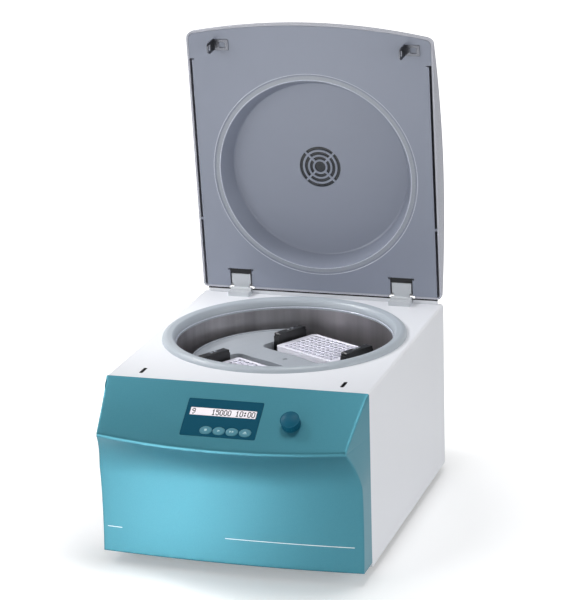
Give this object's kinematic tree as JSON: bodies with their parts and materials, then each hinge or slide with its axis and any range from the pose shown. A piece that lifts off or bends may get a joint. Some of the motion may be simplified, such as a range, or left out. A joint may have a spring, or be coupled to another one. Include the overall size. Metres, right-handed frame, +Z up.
{
  "type": "microplate centrifuge",
  "caption": "Bench centrifuge for microplates: square housing, sloping control panel, round steel chamber with a two-tray swing-out rotor, and a hinged lid that stands open.",
  "frame": {"origin": "on the bench, under the middle of the whole object with its lid open", "axes": "+Z up, +X to the right of the user who faces the control panel, +Y from the user to the hinges"},
  "size_m": [0.395, 0.5708, 0.7227],
  "materials": {
    "foot_rubber": "matt black rubber",
    "plain_steel": "plain zinc-plated steel",
    "housing_paint": "off-white fine powder coat",
    "screw_steel": "bright steel",
    "panel_teal": "moulded panel with a satin metallic teal lacquer",
    "foil_print": "dark printed foil",
    "display_face": "pale liquid crystal display",
    "key_face": "oval embossed keys",
    "board_laminate": "green circuit board",
    "knob_plastic": "dark teal knob",
    "bowl_steel": "brushed stainless steel",
    "collar_rubber": "light grey soft collar",
    "guard_steel": "thick guard steel",
    "cast_aluminium": "cast aluminium",
    "copper_winding": "copper winding",
    "black_plastic": "black moulded plastic",
    "rocker_plastic": "glossy rocker",
    "hinge_paint": "light grey painted hinge parts",
    "lid_shell_plastic": "pale lid shell, satin",
    "lid_panel_paint": "grey lilac paint",
    "seal_rubber": "grey green rubber seal",
    "window_glass": "clear window",
    "striker_steel": "bare steel",
    "rotor_aluminium": "satin light grey rotor",
    "tray_aluminium": "anodised tray",
    "hanger_black": "black hangers",
    "clear_polystyrene": "clear polystyrene"
  },
  "bodies": {
    "chassis": {"foot_pads": "foot_rubber", "base_plate": "plain_steel", "housing": "housing_paint", "housing_screws": "screw_steel", "front_panel": "panel_teal", "control_foil": "foil_print", "display_module": "display_face", "control_board": "board_laminate", "encoder": "plain_steel", "chamber_bowl": "bowl_steel", "bowl_collar": "collar_rubber", "guard_ring": "guard_steel", "motor_plate": "cast_aluminium", "motor_mounts": "foot_rubber", "motor_can": "cast_aluminium", "motor_stator": "copper_winding", "motor_bearings": "plain_steel", "shaft_boot": "foot_rubber", "drive_electronics": "cast_aluminium", "fan_frame": "black_plastic", "power_inlet": "black_plastic", "switch_frame": "black_plastic", "lock_unit_left": "black_plastic", "lock_unit_right": "black_plastic", "hinge_block_left": "hinge_paint", "hinge_block_right": "hinge_paint", "hinge_pins": "plain_steel"},
    "lid": {"lid_shell": "lid_shell_plastic", "lid_panel": "lid_panel_paint", "lid_dish": "lid_panel_paint", "lid_seal": "seal_rubber", "lid_window": "window_glass", "sight_lens": "window_glass", "striker_left": "striker_steel", "striker_right": "striker_steel", "hinge_leaf_left": "hinge_paint", "hinge_leaf_right": "hinge_paint"},
    "rotor": {"motor_shaft": "plain_steel", "motor_core": "guard_steel", "rotor_body": "rotor_aluminium", "rotor_nut": "plain_steel", "trunnion_pins": "plain_steel"},
    "carrier_1": {"tray_1": "tray_aluminium", "hangers_1": "hanger_black", "hanger_screws_1": "screw_steel", "microplate_1": "clear_polystyrene"},
    "carrier_2": {"tray_2": "tray_aluminium", "hangers_2": "hanger_black", "hanger_screws_2": "screw_steel", "microplate_2": "clear_polystyrene"},
    "knob": {"control_knob": "knob_plastic"},
    "button_1": {"key_1": "key_face"},
    "button_2": {"key_2": "key_face"},
    "button_3": {"key_3": "key_face"},
    "button_4": {"key_4": "key_face"},
    "bolt_left": {"lock_bolt_left": "plain_steel"},
    "bolt_right": {"lock_bolt_right": "plain_steel"},
    "rocker": {"switch_rocker": "rocker_plastic"},
    "fan": {"fan_wheel": "black_plastic"}
  },
  "joints": [
    {"name": "lid_hinge", "type": "hinge", "parent": "chassis", "child": "lid", "pos_m": [0, 0.243, 0.2815], "axis": [1, 0, 0], "range_deg": [0, 84.4]},
    {"name": "rotor_spin", "type": "hinge", "parent": "chassis", "child": "rotor", "pos_m": [0, 0.0448, 0], "axis": [0, 0, 1], "continuous": true},
    {"name": "carrier_1_swing", "type": "hinge", "parent": "rotor", "child": "carrier_1", "pos_m": [0.04, 0.11409, 0.2305], "axis": [0.866, -0.5, 0], "range_deg": [0, 90]},
    {"name": "carrier_2_swing", "type": "hinge", "parent": "rotor", "child": "carrier_2", "pos_m": [-0.04, -0.02448, 0.2305], "axis": [-0.866, 0.5, 0], "range_deg": [0, 90]},
    {"name": "knob_turn", "type": "hinge", "parent": "chassis", "child": "knob", "pos_m": [0.097, -0.24254, 0.23846], "axis": [0, -0.599, 0.8007], "continuous": true},
    {"name": "key_1_press", "type": "slide", "parent": "chassis", "child": "button_1", "axis": [0, 0.599, -0.8007], "range_m": [0, 0.0006], "stiffness_N_per_m": 900},
    {"name": "key_2_press", "type": "slide", "parent": "chassis", "child": "button_2", "axis": [0, 0.599, -0.8007], "range_m": [0, 0.0006], "stiffness_N_per_m": 900},
    {"name": "key_3_press", "type": "slide", "parent": "chassis", "child": "button_3", "axis": [0, 0.599, -0.8007], "range_m": [0, 0.0006], "stiffness_N_per_m": 900},
    {"name": "key_4_press", "type": "slide", "parent": "chassis", "child": "button_4", "axis": [0, 0.599, -0.8007], "range_m": [0, 0.0006], "stiffness_N_per_m": 900},
    {"name": "bolt_right_slide", "type": "slide", "parent": "chassis", "child": "bolt_right", "axis": [1, 0, 0], "range_m": [0, 0.008]},
    {"name": "bolt_left_slide", "type": "slide", "parent": "chassis", "child": "bolt_left", "axis": [-1, 0, 0], "range_m": [0, 0.008]},
    {"name": "rocker_tilt", "type": "hinge", "parent": "chassis", "child": "rocker", "pos_m": [0.12, 0.2473, 0.105], "axis": [0, 0, -1], "range_deg": [0, 16]},
    {"name": "fan_spin", "type": "hinge", "parent": "chassis", "child": "fan", "pos_m": [-0.117, 0.2353, 0.1], "axis": [0, 1, 0], "continuous": true}
  ],
  "couplings": [
    {"joint": "bolt_left_slide", "follows": "bolt_right_slide", "ratio": 1}
  ]
}
